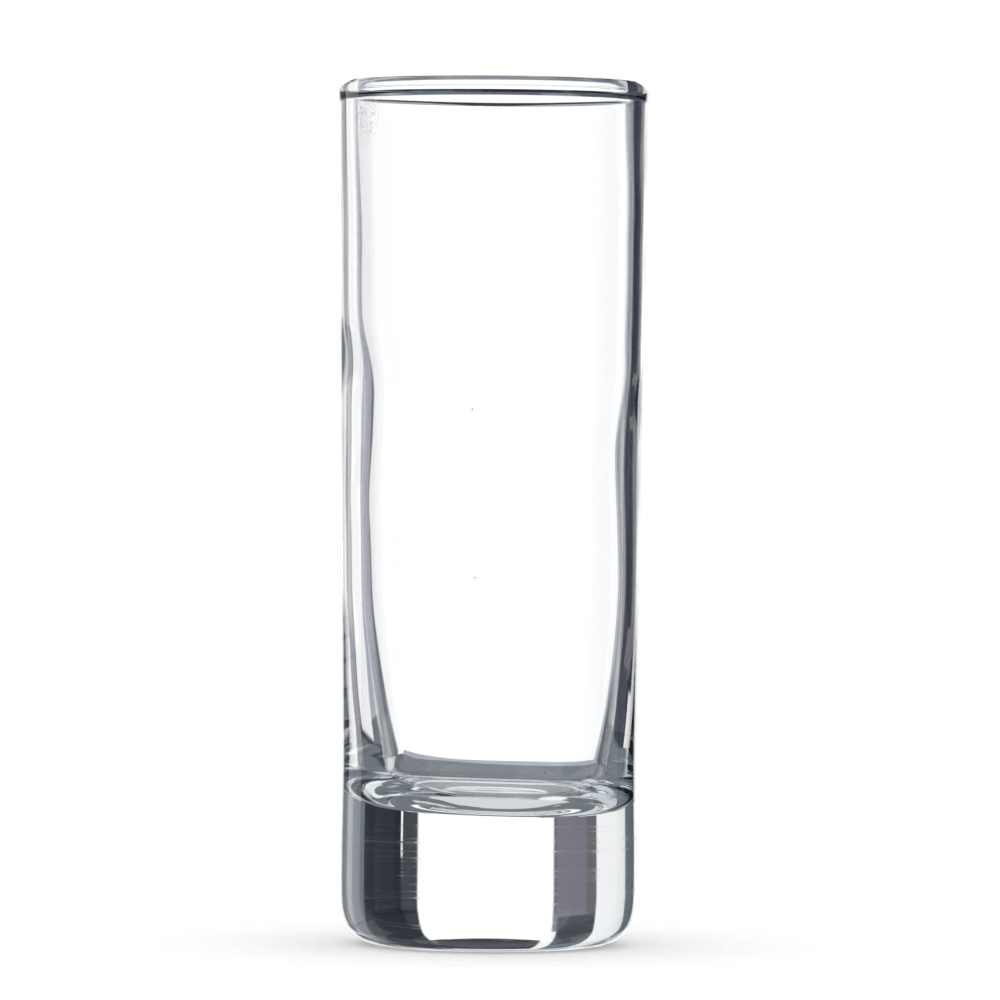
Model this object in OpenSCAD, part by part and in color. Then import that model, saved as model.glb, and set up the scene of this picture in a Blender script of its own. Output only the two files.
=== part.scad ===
// Tall straight juice glass: one piece of clear glass with a thick solid base,
// a rounded heel, a fire-polished lip bead and a wall that thickens downwards.
// Millimetres. The origin is the centre of the standing ring, +Z is up.

/* [Body] */
// Height from the table to the top of the lip
height = 140; // [120:1:160]
// Outer diameter of the wall just below the lip bead
mouth_d = 50.2; // [46:0.2:56]
// Outer diameter at the faint waist above the solid base
waist_d = 47.6; // [45:0.1:50]
// Height of the waist above the table
waist_z = 31; // [26:0.5:40]
// Outer diameter of the solid base
foot_d = 48; // [45:0.1:52]
// Height up to which the base keeps its full diameter
foot_z = 12.5; // [12:0.5:24]

/* [Lip] */
// Diameter of the round bead along the lip
bead_d = 3.16; // [2.6:0.02:3.5]
// How far the bead stands proud of the wall outside
bead_proud = 0.1; // [0:0.02:0.5]
// How far the bead hangs over the hollow
bead_over = 0.95; // [0.3:0.05:1.4]
// Radius of the crook where the underside of the bead meets the wall of the hollow
crook_r = 0.15; // [0.1:0.05:0.5]

/* [Wall] */
// Wall thickness below the lip bead
wall_top = 2.25; // [1.6:0.05:3]
// Wall thickness at the crest of the settle wave, the soft ripple inside at mid height
wall_wave = 3.1; // [2.5:0.05:5]
// Wall thickness below the settle wave
wall_mid = 2.75; // [2:0.05:5]
// Wall thickness at the foot of the wall, where the floor's corner starts
wall_foot = 5.2; // [4:0.05:9]
// Distance from the lip down to the crest of the settle wave
wave_drop = 56; // [45:1:65]
// Height of the slope above the crest
wave_rise = 15; // [8:1:30]
// Height of the slope below the crest
wave_fall = 18; // [8:1:35]
// Height at which the wall starts to thicken towards the base
thicken_z = 62; // [45:1:80]

/* [Base] */
// Thickness of solid glass under the middle of the hollow
base_t = 21; // [14:0.5:30]
// Depth of the dish in the hollow's floor
floor_dish = 0.5; // [0.2:0.1:1.5]
// Radius of the corner between the floor and the wall
floor_r = 8.2; // [4:0.1:12]
// Height of the rounded heel
heel_h = 10; // [4:0.5:12]
// Width of the rounded heel, from the standing ring to the side of the base
heel_w = 7.3; // [2:0.1:9]
// Width of the flat ring that the glass stands on
ring_w = 2.2; // [1:0.1:4]
// Depth of the shallow hollow under the base
punt_h = 1.2; // [0.3:0.1:3]

/* [Hidden] */
$fn = 180;
clear_glass = [0.86, 0.91, 0.90, 0.45];

mouth_r = mouth_d / 2;
waist_r = waist_d / 2;
foot_r = foot_d / 2;

// Lip: the bead overhangs the wall on both sides, and its inner edge curls under to the crook
lip_r = mouth_r + bead_proud;
throat_r = mouth_r - wall_top;
bead_r = min(bead_d, bead_proud + wall_top + bead_over) / 2;
bead_z = height - bead_r;
bead_side = bead_r - bead_over + crook_r;
bead_drop = sqrt(pow(bead_r + crook_r, 2) - pow(bead_side, 2));
crook_turn = atan2(bead_drop, bead_side);
neck_z = bead_z - bead_drop;

// Underside: the standing ring lies between the punt and the heel
ring_out_r = foot_r - heel_w;
ring_in_r = ring_out_r - ring_w;
punt_sphere_r = (ring_in_r * ring_in_r + punt_h * punt_h) / (2 * punt_h);
punt_half_angle = asin(ring_in_r / punt_sphere_r);

// Heel: how far its two handles pull the curve out and up, as shares of its width and height
heel_out = 0.96;
heel_up = 0.5;

// Hollow: the floor's corner is an arc that touches both the leaning wall and the dished floor
crest_z = height - wave_drop;
corner_z = base_t + floor_dish + floor_r;
slope_step = 0.5;
lean = atan((inner_r(corner_z + slope_step) - inner_r(corner_z - slope_step)) / (2 * slope_step));
join_z = corner_z - floor_r * sin(lean);
corner_ring_r = inner_r(join_z) - floor_r * cos(lean);
dish_sphere_r = (corner_ring_r * corner_ring_r + floor_dish * (2 * floor_r + floor_dish)) / (2 * floor_dish);
dish_half_angle = atan2(corner_ring_r, base_t + dish_sphere_r - corner_z);

// Steps along the curved stretches of the profile
punt_steps = 5;
heel_steps = 12;
waist_steps = 6;
neck_steps = 4;
brim_steps = 8;
bead_steps = 14;
crook_steps = 4;
wall_steps = 30;
corner_steps = 10;
dish_steps = 4;

// Smooth step: 0 at t = 0 and below, 1 at t = 1 and above, level at both ends
function ease(t) =
    let (u = min(max(t, 0), 1))
    u * u * (3 - 2 * u);

// Points of an arc round [cr, cz], from one angle to another
function arc(cr, cz, r, from, to, steps) =
    [for (i = [0:steps])
        let (a = from + (to - from) * i / steps)
        [cr + r * cos(a), cz + r * sin(a)]];

// Points of a curve from one point to another, which two handles pull on
function curve(from, from_handle, to_handle, to, steps) =
    [for (i = [0:steps])
        let (t = i / steps, u = 1 - t)
        u * u * u * from + 3 * u * u * t * from_handle + 3 * u * t * t * to_handle + t * t * t * to];

// Outer radius of the body at a height: full base, faint waist, straight flare to the mouth
function outer_r(z) =
    z < waist_z
        ? foot_r + (waist_r - foot_r) * ease((z - foot_z) / (waist_z - foot_z))
        : waist_r + (mouth_r - waist_r) * (z - waist_z) / (neck_z - waist_z);

// Wall thickness at a height: thin top, settle wave, then thicker and thicker towards the base
function wall_t(z) =
    wall_top
    + (wall_wave - wall_top) * ease((crest_z + wave_rise - z) / wave_rise)
    - (wall_wave - wall_mid) * ease((crest_z - z) / wave_fall)
    + (wall_foot - wall_mid) * pow(max(thicken_z - z, 0) / (thicken_z - corner_z), 2);

// Radius of the hollow at a height
function inner_r(z) = outer_r(z) - wall_t(z);

// Points of an upright curve that blends from one radius to another
function blend(r_from, z_from, r_to, z_to, steps) =
    [for (i = [0:steps])
        [r_from + (r_to - r_from) * ease(i / steps), z_from + (z_to - z_from) * i / steps]];

function underside() =
    arc(0, punt_h - punt_sphere_r, punt_sphere_r, 90, 90 - punt_half_angle, punt_steps);

function heel() = curve(
    [ring_out_r, 0],
    [ring_out_r + heel_out * heel_w, 0],
    [foot_r, heel_h - heel_up * heel_h],
    [foot_r, heel_h],
    heel_steps);

function outer_wall() = concat(
    heel(),
    blend(foot_r, foot_z, waist_r, waist_z, waist_steps),
    blend(mouth_r, neck_z, lip_r, bead_z, neck_steps));

function lip() = concat(
    arc(lip_r - bead_r, bead_z, bead_r, 0, 90, brim_steps),
    arc(throat_r - bead_over + bead_r, bead_z, bead_r, 90, 180 + crook_turn, bead_steps),
    arc(throat_r - crook_r, neck_z, crook_r, crook_turn, 0, crook_steps));

function inner_wall() =
    [for (i = [1:wall_steps])
        let (z = neck_z + (join_z - neck_z) * i / wall_steps)
        [inner_r(z), z]];

function hollow_floor() = concat(
    arc(corner_ring_r, corner_z, floor_r, -lean, dish_half_angle - 90, corner_steps),
    arc(0, base_t + dish_sphere_r, dish_sphere_r, dish_half_angle - 90, -90, dish_steps));

// Half section of the glass, from the punt up the outside, over the lip and down the hollow
module half_section() {
    polygon(concat(underside(), outer_wall(), lip(), inner_wall(), hollow_floor()));
}

module tumbler() {
    color(clear_glass) rotate_extrude() half_section();
}

tumbler();
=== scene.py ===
# %% [markdown]
# # A tall juice glass in clear glass
#
# The object is one piece of glass: a slim straight tumbler with a thick solid base, a rounded heel and a
# bead round the lip. Clear glass has no colour of its own to paint. What the eye reads as glass is the
# room, bent by two curved surfaces, so this lesson spends its effort on three things: a very smooth mesh
# with the small unevenness of a blown wall, a clean glass material, and a plain studio for it to bend.

# %% Load the frame
import math

import bpy
import bmesh
from mathutils import Matrix, Vector


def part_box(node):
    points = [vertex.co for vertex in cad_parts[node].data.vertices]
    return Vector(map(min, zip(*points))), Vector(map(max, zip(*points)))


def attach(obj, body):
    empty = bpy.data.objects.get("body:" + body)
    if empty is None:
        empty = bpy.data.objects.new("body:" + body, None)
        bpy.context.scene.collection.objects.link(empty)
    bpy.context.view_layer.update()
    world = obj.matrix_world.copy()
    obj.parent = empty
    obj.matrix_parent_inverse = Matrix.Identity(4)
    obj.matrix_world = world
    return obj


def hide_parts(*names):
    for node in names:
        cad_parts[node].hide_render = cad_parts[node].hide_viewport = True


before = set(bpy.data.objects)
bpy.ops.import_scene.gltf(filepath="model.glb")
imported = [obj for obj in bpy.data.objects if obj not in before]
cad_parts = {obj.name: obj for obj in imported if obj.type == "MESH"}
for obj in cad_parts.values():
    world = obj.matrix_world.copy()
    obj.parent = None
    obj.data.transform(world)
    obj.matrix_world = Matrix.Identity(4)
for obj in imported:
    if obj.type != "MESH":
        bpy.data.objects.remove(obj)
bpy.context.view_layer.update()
scene = bpy.context.scene
MM = 0.001
print("frame nodes:", sorted(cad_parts))

# %% [markdown]
# ## Sizes
#
# The frame says how tall and how wide the glass is. The other sizes are those of the construction: the
# waist and foot of the outside, the lip bead with the wall just below it, and the base. They could be
# measured on the solid's mesh, but its facets would blur them, so each is written once. The rest of the
# wall comes with the hollow.

# %% Driving sizes
low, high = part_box("tumbler")
height = high.z - low.z
lip_r = (high.x - low.x) / 2

waist_r = 23.8 * MM
waist_z = 31 * MM
foot_r = 24 * MM
foot_z = 12.5 * MM
heel_h = 10 * MM
heel_w = 7.3 * MM
heel_out = 0.96
heel_up = 0.5
ring_w = 2.2 * MM
punt_h = 1.2 * MM

bead_r = 1.58 * MM
bead_proud = 0.1 * MM
bead_over = 0.95 * MM
crook_r = 0.15 * MM
wall_top = 2.25 * MM

base_t = 21 * MM
floor_dish = 0.5 * MM
floor_r = 8.2 * MM

mouth_r = lip_r - bead_proud
throat_r = mouth_r - wall_top
bead_z = height - bead_r
bead_side = bead_r - bead_over + crook_r
bead_drop = math.sqrt((bead_r + crook_r) ** 2 - bead_side ** 2)
neck_z = bead_z - bead_drop
corner_z = base_t + floor_dish + floor_r
print(f"glass {height / MM:.1f} mm high, {2 * lip_r / MM:.1f} mm across the lip")

# %% [markdown]
# ## The outside of the glass
#
# The outside was shaped by a mould, so it is a true body of revolution: a shallow punt, a flat standing
# ring, the heel, a faint waist above the base and then a straight flare up to the lip. A lathe of one
# profile gives exactly that. The profile could be traced as a long list of points, but then no size of it
# could be changed, so each stretch is a formula: arcs for the round stretches, a curve with two handles
# for the heel, and a smooth step, level at both ends, where one radius flows into another. Heights along a
# wall lie closer together near its two ends, where it bends.

# %% Curves of a profile
def ease(t):
    u = min(max(t, 0.0), 1.0)
    return u * u * (3 - 2 * u)


def arc(ring_r, ring_z, radius, start, end, steps):
    turn = [math.radians(start + (end - start) * i / steps) for i in range(steps + 1)]
    return [(ring_r + radius * math.cos(a), ring_z + radius * math.sin(a)) for a in turn]


def bezier(points, steps):
    (ar, az), (br, bz), (cr, cz), (dr, dz) = points
    curve = []
    for i in range(steps + 1):
        t = i / steps
        a, b, c, d = (1 - t) ** 3, 3 * t * (1 - t) ** 2, 3 * t ** 2 * (1 - t), t ** 3
        curve.append((a * ar + b * br + c * cr + d * dr, a * az + b * bz + c * cz + d * dz))
    return curve


def heights(start, end, steps):
    return [start + (end - start) * (1 - math.cos(math.pi * i / steps)) / 2 for i in range(steps + 1)]


print("profile curves: smooth step, arc, curve with handles, wall heights")

# %% [markdown]
# The mould's profile has three stretches: the underside with punt, ring and heel, the wall, and the lip.
# The lip was melted round by a flame after moulding, so its bead hangs over the wall on both sides and
# curls under to a small crook inside. The steps of a stretch follow how tightly it bends, because a coarse
# bend in glass shows as stripes in everything seen through it.

# %% Outside profile
punt_steps = 14
heel_steps = 48
waist_steps = 26
flare_steps = 40
collar_steps = 14
brim_steps = 30
bead_steps = 60
crook_steps = 12


def outer_r(z):
    if z < waist_z:
        return foot_r + (waist_r - foot_r) * ease((z - foot_z) / (waist_z - foot_z))
    return waist_r + (mouth_r - waist_r) * (z - waist_z) / (neck_z - waist_z)


def underside():
    ring_out_r = foot_r - heel_w
    ring_in_r = ring_out_r - ring_w
    punt_sphere_r = (ring_in_r ** 2 + punt_h ** 2) / (2 * punt_h)
    half_angle = math.degrees(math.asin(ring_in_r / punt_sphere_r))
    punt = arc(0, punt_h - punt_sphere_r, punt_sphere_r, 90, 90 - half_angle, punt_steps)
    lower_handle = (ring_out_r + heel_out * heel_w, 0)
    upper_handle = (foot_r, heel_h - heel_up * heel_h)
    heel = bezier([(ring_out_r, 0), lower_handle, upper_handle, (foot_r, heel_h)], heel_steps)
    return punt + heel


def outer_wall():
    waist = [(outer_r(z), z) for z in heights(heel_h, waist_z, waist_steps)[1:]]
    flare = [(outer_r(z), z) for z in heights(waist_z, neck_z, flare_steps)[1:]]
    shares = [i / collar_steps for i in range(1, collar_steps + 1)]
    collar = [(mouth_r + bead_proud * ease(t), neck_z + bead_drop * t) for t in shares]
    return waist + flare + collar


def lip():
    brim = arc(lip_r - bead_r, bead_z, bead_r, 0, 90, brim_steps)[1:]
    turn = math.degrees(math.atan2(bead_drop, bead_side))
    bead = arc(throat_r - bead_over + bead_r, bead_z, bead_r, 90, 180 + turn, bead_steps)
    crook = arc(throat_r - crook_r, neck_z, crook_r, turn, 0, crook_steps)[1:]
    return brim + bead + crook


outside = underside() + outer_wall() + lip()
print("outside profile:", len(outside), "points")

# %% [markdown]
# ## The hollow
#
# The inside was made by air, not by a mould, so it is never quite round. Three things show in the picture
# of a blown wall: a settle wave, a soft ripple at mid height where the first blow stopped, which sits a
# little higher and stands a little prouder on one side; a hollow that wanders off the axis near the base,
# so one wall is thicker; and faint ripples. Sculpting could add them to a plain lathe, but never the same
# twice. Here the wave and the ripples are terms of the wall's thickness, a function of the height and of
# the direction round the axis, and the drift moves each ring sideways.

# %% Wall of the hollow
wall_wave = 3.1 * MM
wall_mid = 2.75 * MM
wall_foot = 5.2 * MM
crest_z = 84 * MM
crest_tilt = 3.5 * MM
wave_rise = 15 * MM
wave_fall = 18 * MM
wave_lean = 0.25 * MM
thicken_z = 62 * MM
drift_top = 0.28 * MM
drift_foot = 0.66 * MM
drift_z = 90 * MM
drift_fade = 20 * MM
ripple = 0.01 * MM
ripple_pitch = 17 * MM
ripple_twist = 1.3
ripple_fade = 15 * MM
floor_tilt = 0.03
tilt_z = 60 * MM
tilt_h = 30 * MM


def wall_t(z, side):
    crest = crest_z - crest_tilt * side
    foot = (wall_foot - wall_mid) * (max(thicken_z - z, 0) / (thicken_z - corner_z)) ** 2
    risen = ease((crest + wave_rise - z) / wave_rise)
    fallen = ease((crest - z) / wave_fall)
    wave = (wall_wave - wall_top) * risen - (wall_wave - wall_mid) * fallen
    return wall_top + wave + wave_lean * (1 - side) / 2 * risen * (1 - fallen) + foot


def drift(z):
    low_part = (drift_foot - drift_top) * ease((drift_z - z) / (drift_z - corner_z))
    return drift_top * ease((neck_z - z) / drift_fade) + low_part


def hollow_point(z, angle):
    side = math.cos(angle)
    r = outer_r(z) - wall_t(z, side)
    fade = ease((neck_z - z) / ripple_fade)
    r += ripple * fade * math.sin(2 * math.pi * z / ripple_pitch + ripple_twist * math.sin(2 * angle))
    sunk = floor_tilt * r * side * ease((tilt_z - z) / tilt_h)
    return (drift(z) + r * side, r * math.sin(angle), z - sunk)


print(f"wall: {wall_t(neck_z, 0) / MM:.2f} mm at the neck, {wall_t(corner_z, 0) / MM:.2f} mm at the foot")

# %% [markdown]
# The floor of the hollow is a shallow dish, because the hot glass sank in the middle. A rounded corner
# joins it to the wall. A bevel could round a sharp corner, but an arc that touches both the leaning wall
# and the dish leaves no crease for the light to catch. In this glass the whole floor leans a little to one
# side.

# %% Floor of the hollow
slope_step = 0.5 * MM
corner_steps = 30
dish_steps = 16


def floor_profile():
    below, above = (outer_r(z) - wall_t(z, 0) for z in (corner_z - slope_step, corner_z + slope_step))
    lean = math.atan((above - below) / (2 * slope_step))
    join_z = corner_z - floor_r * math.sin(lean)
    corner_r = outer_r(join_z) - wall_t(join_z, 0) - floor_r * math.cos(lean)
    dish_r = (corner_r ** 2 + floor_dish * (2 * floor_r + floor_dish)) / (2 * floor_dish)
    dish_turn = math.degrees(math.atan2(corner_r, base_t + dish_r - corner_z))
    corner = arc(corner_r, corner_z, floor_r, -math.degrees(lean), dish_turn - 90, corner_steps)
    dish = arc(0, base_t + dish_r, dish_r, dish_turn - 90, -90, dish_steps)[1:]
    return join_z, corner + dish


join_z, hollow_floor = floor_profile()
print(f"hollow: floor corner starts {join_z / MM:.1f} mm above the table")

# %% [markdown]
# ## One closed mesh
#
# The profile turns round the axis in rings of quads, closed by a fan at the punt and a fan at the floor's
# middle. A Screw modifier could do the turning, but it can't make the inside uneven, so the rings are
# written out. Glass has to be one closed skin with its normals outwards, or light would enter it and never
# leave.

# %% Turn the profile into a mesh
TURNS = 480
hollow_steps = 120


def ring_of(point_at):
    return [point_at(2 * math.pi * k / TURNS) for k in range(TURNS)]


def round_ring(r, z):
    return ring_of(lambda a: (r * math.cos(a), r * math.sin(a), z))


def tilted_ring(r, z, centre):
    def point_at(angle):
        along = r * math.cos(angle)
        return (centre + along, r * math.sin(angle), z - floor_tilt * along)

    return ring_of(point_at)


def glass_rings():
    rings = [round_ring(r, z) for r, z in outside[1:]]
    for z in heights(neck_z, join_z, hollow_steps)[1:]:
        rings.append(ring_of(lambda a: hollow_point(z, a)))
    for r, z in hollow_floor[1:-1]:
        rings.append(tilted_ring(r, z, drift(join_z)))
    return rings


def lathe(name, bottom, rings, top):
    bm = bmesh.new()
    rows = [[bm.verts.new(p) for p in ring] for ring in rings]
    first = bm.verts.new(bottom)
    last = bm.verts.new(top)
    for k in range(TURNS):
        after = (k + 1) % TURNS
        bm.faces.new((first, rows[0][after], rows[0][k]))
        for row, above in zip(rows, rows[1:]):
            bm.faces.new((row[k], row[after], above[after], above[k]))
        bm.faces.new((rows[-1][k], rows[-1][after], last))
    bmesh.ops.recalc_face_normals(bm, faces=bm.faces)
    for face in bm.faces:
        face.smooth = True
    mesh = bpy.data.meshes.new(name)
    bm.to_mesh(mesh)
    bm.free()
    piece = bpy.data.objects.new(name, mesh)
    scene.collection.objects.link(piece)
    return piece


punt_middle = (0, 0, outside[0][1])
floor_middle = (drift(join_z), 0, hollow_floor[-1][1])
tumbler = lathe("blown_tumbler", punt_middle, glass_rings(), floor_middle)
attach(tumbler, "root")
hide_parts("tumbler")
print("tumbler:", len(tumbler.data.polygons), "faces")

# %% [markdown]
# ## Shader arithmetic
#
# A node tree is easier to read as a formula. This small class holds one socket and adds a Math node for
# each operator; any other node comes from one method, which sets the node's own settings before its
# sockets. The Mix node keeps a set of sockets for each kind of data, so its colour sockets go by number.

# %% A socket that does sums
COLOUR_A = 6
COLOUR_B = 7
COLOUR_RESULT = 2


class Wire:
    def __init__(self, tree, socket=None):
        self.tree = tree
        self.socket = socket

    def node(self, kind, settings, inputs, output=0):
        made = self.tree.nodes.new(kind)
        for key, value in settings.items():
            setattr(made, key, value)
        for key, value in inputs.items():
            if isinstance(value, Wire):
                self.tree.links.new(value.socket, made.inputs[key])
            else:
                made.inputs[key].default_value = value
        return Wire(self.tree, made.outputs[output] if made.outputs else None)

    def output(self, name):
        return Wire(self.tree, self.socket.node.outputs[name])

    def math(self, operation, first, second=0.0):
        return self.node("ShaderNodeMath", {"operation": operation}, {0: first, 1: second})

    def __add__(self, other):
        return self.math("ADD", self, other)

    def __sub__(self, other):
        return self.math("SUBTRACT", self, other)

    def __rsub__(self, other):
        return self.math("SUBTRACT", other, self)

    def __mul__(self, other):
        return self.math("MULTIPLY", self, other)

    __radd__ = __add__
    __rmul__ = __mul__

    def between(self, start, end, soft):
        away = self.math("ABSOLUTE", self - (start + end) / 2)
        half = (end - start) / 2
        return 1 - away.rise(half - soft, half + soft)

    def rise(self, start, end):
        return self.node(
            "ShaderNodeMapRange",
            {"interpolation_type": "SMOOTHSTEP"},
            {"Value": self, "From Min": start, "From Max": end},
        )

    def mix(self, factor, first, second):
        return self.node(
            "ShaderNodeMix",
            {"data_type": "RGBA"},
            {"Factor": factor, COLOUR_A: first, COLOUR_B: second},
            output=COLOUR_RESULT,
        )


def fresh_sheet(owner):
    owner.use_nodes = True
    owner.node_tree.nodes.clear()
    return Wire(owner.node_tree)


print("shader arithmetic: add, subtract, multiply, rise, between and mix")

# %% [markdown]
# ## Clear glass
#
# Soda-lime glass bends light by an index of about 1.52. It is not quite colourless: a long way through it
# is a faint cool green-grey, which is an absorption in its volume and not a paint on its surface. The skin
# is not quite perfect either. Fine level lines of the turning mould run round the base, the whole wall is
# very slightly wavy, dry water marks cling below the lip on one side, and there are a few specks. Lines
# and marks scatter light, so they are a roughness. A picture of scratches could be laid over the glass
# instead, but noise that is stretched along the lines needs no unwrapping. Specks are small dark balls of
# space, set on the skin, that colour whatever part of the glass lies inside them.

# %% Marks on the skin
line_length = 7 * MM
line_pitch = 0.16 * MM
line_detail = 2.0
line_cut = (0.50, 0.76)
line_top = 20 * MM
line_fade = 2 * MM
mark_spot = (-20.5 * MM, -14 * MM, 133 * MM)
mark_reach = 5.5 * MM
mark_core = 0.3
mark_grain = 0.35 * MM
mark_stretch = 1.6
mark_detail = 3.0
mark_cut = (0.55, 0.61)
speck_r = 0.16 * MM
speck_core = 0.6
specks = [(-3.0 * MM, 86.9 * MM), (-2.4 * MM, 60.1 * MM), (8.9 * MM, 29.0 * MM)]
lip_specks = [(-11.0 * MM, 139.7 * MM), (-3.0 * MM, 139.8 * MM)]


def stretched(sheet, place, across, upright):
    shares = (1 / across, 1 / across, 1 / upright)
    return sheet.node("ShaderNodeVectorMath", {"operation": "MULTIPLY"}, {0: place, 1: shares})


def noise(sheet, vector, detail):
    return sheet.node("ShaderNodeTexNoise", {}, {"Vector": vector, "Scale": 1.0, "Detail": detail})


def distance(sheet, place, spot):
    ends = {0: place, 1: spot}
    return sheet.node("ShaderNodeVectorMath", {"operation": "DISTANCE"}, ends, output="Value")


def turning_lines(sheet, place, climb):
    lines = noise(sheet, stretched(sheet, place, line_length, line_pitch), line_detail)
    return lines.rise(*line_cut) * (1 - climb.rise(line_top - line_fade, line_top))


def water_marks(sheet, place):
    away = distance(sheet, place, mark_spot)
    grain = noise(sheet, stretched(sheet, place, mark_grain, mark_stretch * mark_grain), mark_detail)
    return grain.rise(*mark_cut) * (1 - away.rise(mark_core * mark_reach, mark_reach))


def lip_front_r(z):
    return lip_r - bead_r + math.sqrt(bead_r ** 2 - (z - bead_z) ** 2)


def speck_mask(sheet, place):
    mask = 0.0
    spots = [(x, outer_r(z), z) for x, z in specks] + [(x, lip_front_r(z), z) for x, z in lip_specks]
    for x, r, z in spots:
        away = distance(sheet, place, (x, -math.sqrt(r ** 2 - x ** 2), z))
        mask = mask + (1 - away.rise(speck_core * speck_r, speck_r))
    return mask


print("specks:", len(specks), "on the wall and", len(lip_specks), "on the lip")

# %% [markdown]
# The material itself is short. A Glass shader would bend the light too, but the Principled shader keeps
# its index and its transmission when the model is exported. The waviness of the wall bends light and
# doesn't scatter it, so it is a bump. The tint is an absorption in the volume, because it has to deepen
# with the way through the glass.

# %% Glass material
GLASS_IOR = 1.52
GLASS_TINT = (0.60, 0.86, 0.95)
GLASS_DENSITY = 1.6
CLEAR = (1, 1, 1, 1)
SOOT = (0.02, 0.02, 0.02, 1)

line_rough = 0.26
mark_rough = 0.45
wave_length = 9 * MM
wave_stretch = 2
wave_detail = 1.0
wave_depth = 0.015 * MM


def clear_glass():
    material = bpy.data.materials.new("blown_glass")
    sheet = fresh_sheet(material)
    place = sheet.node("ShaderNodeTexCoord", {}, {}, output="Object")
    climb = sheet.node("ShaderNodeSeparateXYZ", {}, {"Vector": place}, output="Z")
    lines = turning_lines(sheet, place, climb)
    marks = water_marks(sheet, place)
    waves = noise(sheet, stretched(sheet, place, wave_length, wave_stretch * wave_length), wave_detail)
    skin = sheet.node("ShaderNodeBump", {}, {"Distance": wave_depth, "Height": waves})
    body = sheet.node(
        "ShaderNodeBsdfPrincipled",
        {},
        {
            "Base Color": sheet.mix(speck_mask(sheet, place), CLEAR, SOOT),
            "Roughness": lines * line_rough + marks * mark_rough,
            "Normal": skin,
            "IOR": GLASS_IOR,
            "Transmission Weight": 1.0,
        },
    )
    tint = {"Color": (*GLASS_TINT, 1), "Density": GLASS_DENSITY}
    inside = sheet.node("ShaderNodeVolumeAbsorption", {}, tint)
    sheet.node("ShaderNodeOutputMaterial", {}, {"Surface": body, "Volume": inside})
    return material


tumbler.data.materials.append(clear_glass())
print("material:", tumbler.data.materials[0].name, "with lines, marks, waves and specks")

# %% [markdown]
# ## The studio
#
# Glass on white is lit from behind: a white backdrop fills the middle, and dark cards stand at its sides,
# so that the bent edges of the glass pick up dark lines. The camera sees plain white everywhere, and only
# light that has gone through the glass or off it finds the cards. Sheets of card on stands would do for
# most of this, but they would also shade the floor, so all are painted on the world. Each card is a patch
# of directions in degrees: how far round from straight ahead, how far up, and its colour. Later cards
# cover earlier ones.

# %% Studio cards
WHITE = (1, 1, 1)
BRIGHT = (1.2, 1.2, 1.2)
PEARL = (0.70, 0.72, 0.75)
PALE = (0.43, 0.455, 0.53)
GREY = (0.36, 0.38, 0.40)
TABLE = (0.165, 0.19, 0.21)
ASH = (0.27, 0.27, 0.315)
MAUVE = (0.19, 0.19, 0.225)
TAUPE = (0.15, 0.145, 0.155)
SLATE = (0.16, 0.185, 0.21)
DUSK = (0.055, 0.057, 0.07)
BLACK = (0.018, 0.020, 0.030)

room_cards = {
    "back wall": ((-180, 180), (-38, 16), PEARL),
    "surround": ((-110, 110), (-90, 90), SLATE),
    "table": ((-60, 60), (-90, -14), TABLE),
    "table below": ((-180, 180), (-90, -57), PEARL),
    "overhead softbox": ((-180, 180), (47, 90), PEARL),
    "upper strip": ((-20, 13), (30, 48), WHITE),
    "left strip": ((-20, -12), (10, 40), WHITE),
    "overhead flag": ((-15.5, 15.5), (14.5, 43), BLACK),
    "left flag": ((-35.5, -17), (-60, 4.5), MAUVE),
    "left flag seam": ((-35.5, -31), (-60, 4.5), TAUPE),
    "left flag edge": ((-19.4, -17), (-60, 4.5), TAUPE),
    "left flag head": ((-36.5, -20), (4.5, 30), DUSK),
    "left softbox": ((-60, -36), (-19, 52), WHITE),
    "right grey edge": ((19.5, 27), (-20, 9), DUSK),
    "right black flag": ((26, 46.5), (-20, 50), BLACK),
    "right flag head": ((18.5, 30), (9, 50), BLACK),
    "right grey card": ((59, 70), (-30, 40), GREY),
    "left far window": ((-102, -79), (-14, 20), WHITE),
    "left low window": ((-72, -22), (-42, -20), PEARL),
    "back low window": ((112, 158), (-40, 20), WHITE),
    "right low window": ((36, 76), (-52, -38), PEARL),
}
card_soft = 0.5


def card_mask(heading, climb, turn, rise, soft=card_soft):
    return heading.between(*turn, soft) * climb.between(*rise, soft)


def hang(sheet, room, heading, climb, cards, share):
    for turn, rise, colour in cards.values():
        room = sheet.mix(share * card_mask(heading, climb, turn, rise), room, (*colour, 1))
    return room


print("room cards:", ", ".join(room_cards))

# %% [markdown]
# The backdrop is a hanging sheet. Its foot sags in the middle, with a pale strip along it. A slit of light
# falls between the dark cards on the right, and one black card there leans. A mesh could take these
# shapes, but bending the two directions before a mask is made lets plain patches do it.

# %% Backdrop
slit_turn = (25.4, 26.2)
slit_rise = (-4.6, -4.05)
slit_soft = 0.06
backdrop_turn = (-18.3, 19.9)
backdrop_half = 19.3
backdrop_foot = -21.7
backdrop_arch = 7.5
backdrop_head = 14.5
strip_turn = (-21.5, 20.5)
strip_h = 3
corner_turn = (20.5, 28)
corner_rise = (3, 40)
corner_slant = 0.16


def hang_backdrop(sheet, room, heading, climb):
    slit = card_mask(heading, climb, slit_turn, slit_rise, slit_soft)
    room = sheet.mix(slit, room, (*WHITE, 1))
    aside = heading * (1 / backdrop_half)
    sagging = climb - aside * aside * backdrop_arch
    strip = card_mask(heading, sagging, strip_turn, (backdrop_foot - strip_h, backdrop_foot))
    room = sheet.mix(strip, room, (*PALE, 1))
    backdrop = card_mask(heading, sagging, backdrop_turn, (backdrop_foot, backdrop_head))
    room = sheet.mix(backdrop, room, (*BRIGHT, 1))
    corner = card_mask(heading + climb * corner_slant, climb, corner_turn, corner_rise)
    return sheet.mix(corner, room, (*BLACK, 1))


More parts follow.
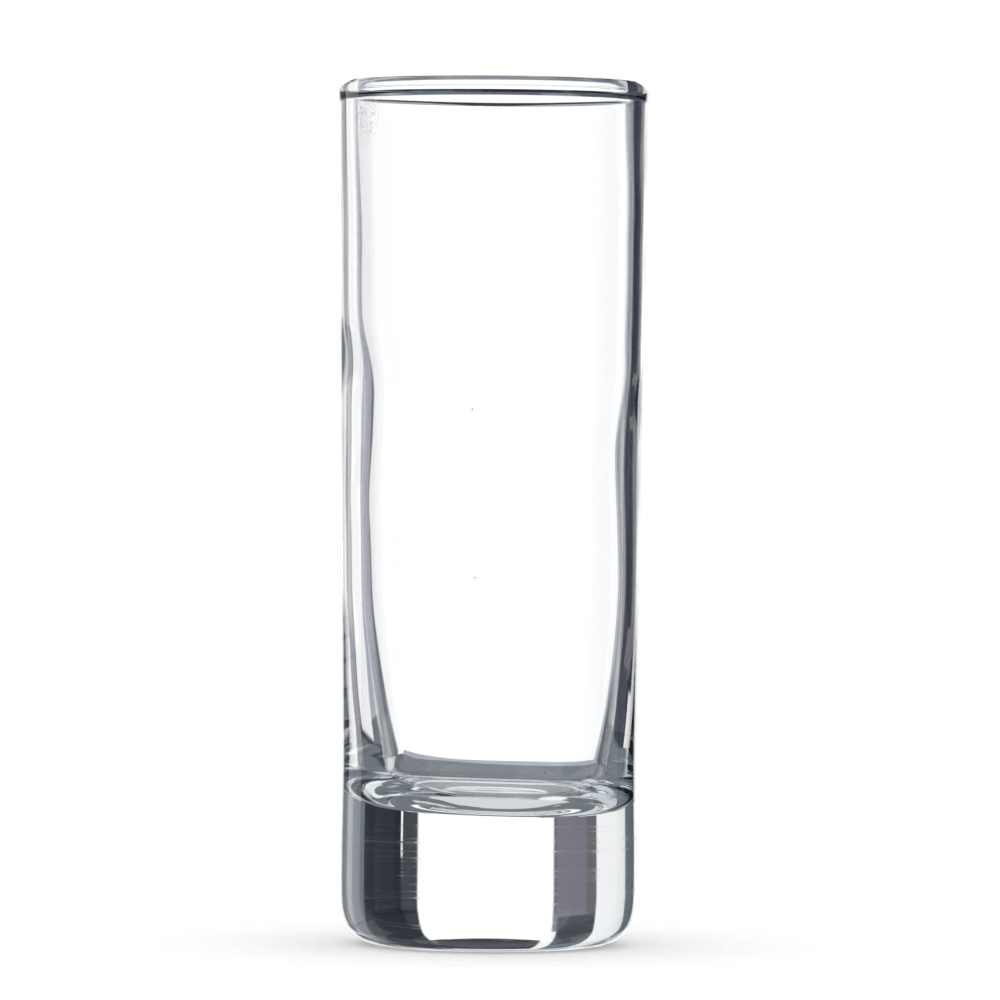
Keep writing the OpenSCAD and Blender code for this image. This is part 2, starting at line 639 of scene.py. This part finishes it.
print("backdrop:", backdrop_turn[1] - backdrop_turn[0], "degrees wide")

# %% [markdown]
# A photographer moves the cards until every edge reads well. Here the Light Path node helps: it counts how
# often a ray has passed a surface or been mirrored, so the thin wall, the far lip and the solid base can
# each have cards of their own in the same room. Separate worlds and a compositor could do that too, but
# one world keeps the whole picture in one render.

# %% Cards for one kind of path
INK = (0.040, 0.045, 0.065)

wall_cards = {
    "right edge": ((15.4, 18), (-19, 9), PALE),
    "right flag": ((17.5, 48.5), (-19, 9), INK),
    "right window": ((48.5, 60), (-19, 9), PEARL),
}
mirror_cards = {
    "left foot shade": ((-62, -20), (-32, -19), TABLE),
    "left grey": ((-28, -14), (-24, 9), ASH),
    "left dark line": ((-28, -25), (-24, -2), TAUPE),
    "left light": ((-46, -28), (-19, 9), WHITE),
    "left far light": ((-60, -46), (-19, 9), PALE),
    "right low gap": ((10, 24), (-19.5, -13), BRIGHT),
}
stroke_cards = {
    "left light foot": ((-46, -28), (-18.6, -10), WHITE),
    "left stroke": ((-60, -24), (-19.2, -18.6), BLACK),
}
far_cards = {
    "left backdrop edge": ((-20.3, -17), (-19, 9), BRIGHT),
    "high backdrop": ((-15.5, 15.5), (13.5, 23.5), BRIGHT),
    "high strip": ((-15.5, 15.5), (23.5, 48), PALE),
    "high flag": ((-3, 3), (23.5, 48), BLACK),
}
stroke_start = -26
stroke_lean = 0.15
far_passes = (2.4, 3.6)


def hang_path_cards(sheet, room, heading, climb, mirrors, passes):
    turned_inside = sheet.math("MINIMUM", mirrors, 1.0) * sheet.math("MINIMUM", passes, 1.0)
    through_two = passes.rise(*far_passes)
    either = sheet.math("MAXIMUM", turned_inside, through_two)
    leaning = climb - (heading - stroke_start) * stroke_lean
    room = hang(sheet, room, heading, climb, wall_cards, either)
    room = hang(sheet, room, heading, climb, mirror_cards, turned_inside)
    room = hang(sheet, room, heading, leaning, stroke_cards, turned_inside)
    return hang(sheet, room, heading, climb, far_cards, through_two)


print("path cards:", ", ".join([*wall_cards, *mirror_cards, *stroke_cards, *far_cards]))

# %% [markdown]
# Light that the glass mirrors also finds the camera's side of the room, which a photographer keeps dark
# with black cloth, so the first mirror image of it is dimmed. Light that was mirrored twice or more and
# then falls steeply is black, which gives the lip its dark band. After many more turns it has lost its way
# in the wall, and takes one slate tone instead of sparkling at random.

# %% Shades for mirrored light
NO_LIGHT = (0, 0, 0, 1)
rear_turn = (60, 80)
rear_rise = (-16, 16)
rear_soft = 3
rear_shade = 0.8
mirrored_again = (1.4, 2.4)
steep_climb = (-48, -42)
lost_mirrors = (5.2, 6.2)
rear_window = ((-170, -88), (17, 36))


def shade_mirrored(sheet, room, heading, climb, mirrors):
    again = mirrors.rise(*mirrored_again)
    once = sheet.math("MINIMUM", mirrors, 1.0) * (1 - again)
    behind = sheet.math("ABSOLUTE", heading).rise(*rear_turn) * climb.between(*rear_rise, rear_soft)
    room = sheet.mix(once * behind * rear_shade, room, NO_LIGHT)
    room = sheet.mix(again * (1 - climb.rise(*steep_climb)), room, (*BLACK, 1))
    room = sheet.mix(mirrors.rise(*lost_mirrors), room, (*SLATE, 1))
    return sheet.mix(card_mask(heading, climb, *rear_window), room, (*PEARL, 1))


print("shades: the camera's side, steeply down, and light that has lost its way")

# %% [markdown]
# All cards are patches of direction, so the world needs only two angles: the heading round the upright
# axis and the climb above the table. A painted panorama could hold the same cards, but then none could be
# moved by changing a number. Light from the floor sees plain white again, so the cards never tint it.

# %% The studio as a world
TO_DEGREES = 180 / math.pi


def studio():
    world = bpy.data.worlds.new("studio")
    scene.world = world
    sheet = fresh_sheet(world)
    direction = sheet.node("ShaderNodeTexCoord", {}, {}, output="Generated")
    across = sheet.node("ShaderNodeSeparateXYZ", {}, {"Vector": direction}, output="X")
    heading = sheet.math("ARCTAN2", across, across.output("Y")) * TO_DEGREES
    climb = sheet.math("ARCSINE", across.output("Z")) * TO_DEGREES
    path = sheet.node("ShaderNodeLightPath", {}, {}, output="Is Glossy Ray")
    mirrors = path.output("Glossy Depth")
    passes = path.output("Transmission Depth")
    room = hang(sheet, (*DUSK, 1), heading, climb, room_cards, share=1.0)
    room = hang_backdrop(sheet, room, heading, climb)
    room = hang_path_cards(sheet, room, heading, climb, mirrors, passes)
    room = shade_mirrored(sheet, room, heading, climb, mirrors)
    bent = sheet.math("MAXIMUM", path, path.output("Is Transmission Ray"))
    from_floor = sheet.math("MINIMUM", path.output("Diffuse Depth"), 1.0)
    colour = sheet.mix(bent * (1 - from_floor), (*WHITE, 1), room)
    light = sheet.node("ShaderNodeBackground", {}, {"Color": colour, "Strength": 1.0})
    sheet.node("ShaderNodeOutputWorld", {}, {"Surface": light})
    return world


world = studio()
print("studio:", len(world.node_tree.nodes), "nodes")

# %% [markdown]
# ## The floor
#
# A pale round floor holds the glass's soft shadow, and fades out before its edge shows. A wide plane would
# need its own light to stay white to the horizon, and a small one that turns clear towards its rim
# doesn't. The glass itself looks at the table card of the studio, so bent and mirrored rays pass the floor
# by.

# %% Floor
FLOOR_R = 0.06
FADE_START = 0.02
FLOOR_SIDES = 96
PAPER = (1, 1, 1, 1)


def floor_paper():
    material = bpy.data.materials.new("pale_floor")
    sheet = fresh_sheet(material)
    place = sheet.node("ShaderNodeTexCoord", {}, {}, output="Object")
    reach = sheet.node("ShaderNodeVectorMath", {"operation": "LENGTH"}, {0: place}, output="Value")
    paper = sheet.node("ShaderNodeBsdfDiffuse", {}, {"Color": PAPER})
    clear = sheet.node("ShaderNodeBsdfTransparent", {}, {})
    shader = sheet.node("ShaderNodeMixShader", {}, {0: reach.rise(FADE_START, FLOOR_R), 1: paper, 2: clear})
    sheet.node("ShaderNodeOutputMaterial", {}, {"Surface": shader})
    return material


def pale_floor():
    bm = bmesh.new()
    bmesh.ops.create_circle(bm, cap_ends=True, segments=FLOOR_SIDES, radius=FLOOR_R)
    mesh = bpy.data.meshes.new("floor")
    bm.to_mesh(mesh)
    bm.free()
    mesh.materials.append(floor_paper())
    floor = bpy.data.objects.new("floor", mesh)
    scene.collection.objects.link(floor)
    floor.visible_transmission = False
    floor.visible_glossy = False


pale_floor()
print("floor: radius", FLOOR_R)

# %% [markdown]
# ## Camera
#
# The picture was taken with a long lens from a little under two thirds of the glass's height. The sides
# stay almost parallel, the lip is seen from just below and the floor of the hollow from just above. The
# lens could be guessed by eye, but it follows from the distance: the glass has to fill as many pixels as
# in the picture.

# %% Camera
PHOTO_SIDE = 1000
PHOTO_HEIGHT = 862
PHOTO_AXIS_X = 490.8
PHOTO_MIDDLE_Y = 513.3
SENSOR = 36
DISTANCE = 1.16
ELEVATION = math.radians(0.8)
ROLL = math.radians(0.40)

pixel = height / PHOTO_HEIGHT
aim = Vector((
    (PHOTO_SIDE / 2 - PHOTO_AXIS_X) * pixel,
    0,
    height / 2 + (PHOTO_MIDDLE_Y - PHOTO_SIDE / 2) * pixel,
))


def add_camera():
    data = bpy.data.cameras.new("camera")
    data.sensor_width = SENSOR
    data.lens = SENSOR * DISTANCE / (PHOTO_SIDE * pixel)
    camera = bpy.data.objects.new("camera", data)
    scene.collection.objects.link(camera)
    back = Vector((0, -math.cos(ELEVATION), math.sin(ELEVATION)))
    level = (-back).to_track_quat("-Z", "Y").to_matrix().to_4x4()
    camera.matrix_world = Matrix.Translation(aim + back * DISTANCE) @ level @ Matrix.Rotation(ROLL, 4, "Z")
    scene.camera = camera
    return camera


camera = add_camera()
print(f"camera: {camera.data.lens:.0f} mm lens, {DISTANCE} m away")

# %% [markdown]
# ## Render settings that glass needs
#
# Light bounces many times inside a thick base. With the default few bounces those paths end black.

# %% Light paths and colours
ALL_BOUNCES = 32
MIRROR_BOUNCES = 24

scene.cycles.max_bounces = ALL_BOUNCES
scene.cycles.glossy_bounces = MIRROR_BOUNCES
scene.cycles.transmission_bounces = ALL_BOUNCES
scene.view_settings.view_transform = "Standard"
print("light paths: up to", ALL_BOUNCES, "bounces")
